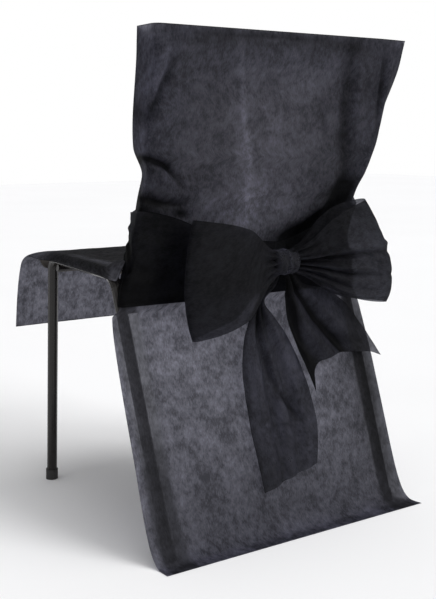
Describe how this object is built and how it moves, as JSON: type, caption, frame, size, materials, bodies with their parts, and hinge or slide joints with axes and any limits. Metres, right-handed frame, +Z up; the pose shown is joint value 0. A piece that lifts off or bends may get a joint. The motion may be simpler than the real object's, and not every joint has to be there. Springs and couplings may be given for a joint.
{
  "type": "chair cover with sash on a tube frame chair",
  "caption": "Black nonwoven chair cover with a wide sash tied in a bow behind, on a plain tube frame chair with a hanging rear drop.",
  "frame": {"origin": "on the floor, under the middle of the object's bounding box", "axes": "+Z up; the chair faces -Y, so the bow and the rear drop are on the +Y side; +X is the chair's own left"},
  "size_m": [0.5737, 0.6326, 0.8571],
  "materials": {
    "cover_cloth": "matte black nonwoven, slightly sheer",
    "sash_cloth": "matte black nonwoven in several layers",
    "tube_paint": "dark gloss paint on round steel tube",
    "board": "plain dark moulded board",
    "foot_cap_rubber": "matte black rubber"
  },
  "bodies": {
    "root": {"rear_panel": "cover_cloth", "front_panel": "cover_cloth", "sash": "sash_cloth", "side_frame_left": "tube_paint", "side_frame_right": "tube_paint", "back_frame": "tube_paint", "cross_rail_front": "tube_paint", "cross_rail_rear": "tube_paint", "seat": "board", "backrest": "board", "foot_cap_front_left": "foot_cap_rubber", "foot_cap_front_right": "foot_cap_rubber", "foot_cap_rear_left": "foot_cap_rubber", "foot_cap_rear_right": "foot_cap_rubber"}
  },
  "joints": []
}
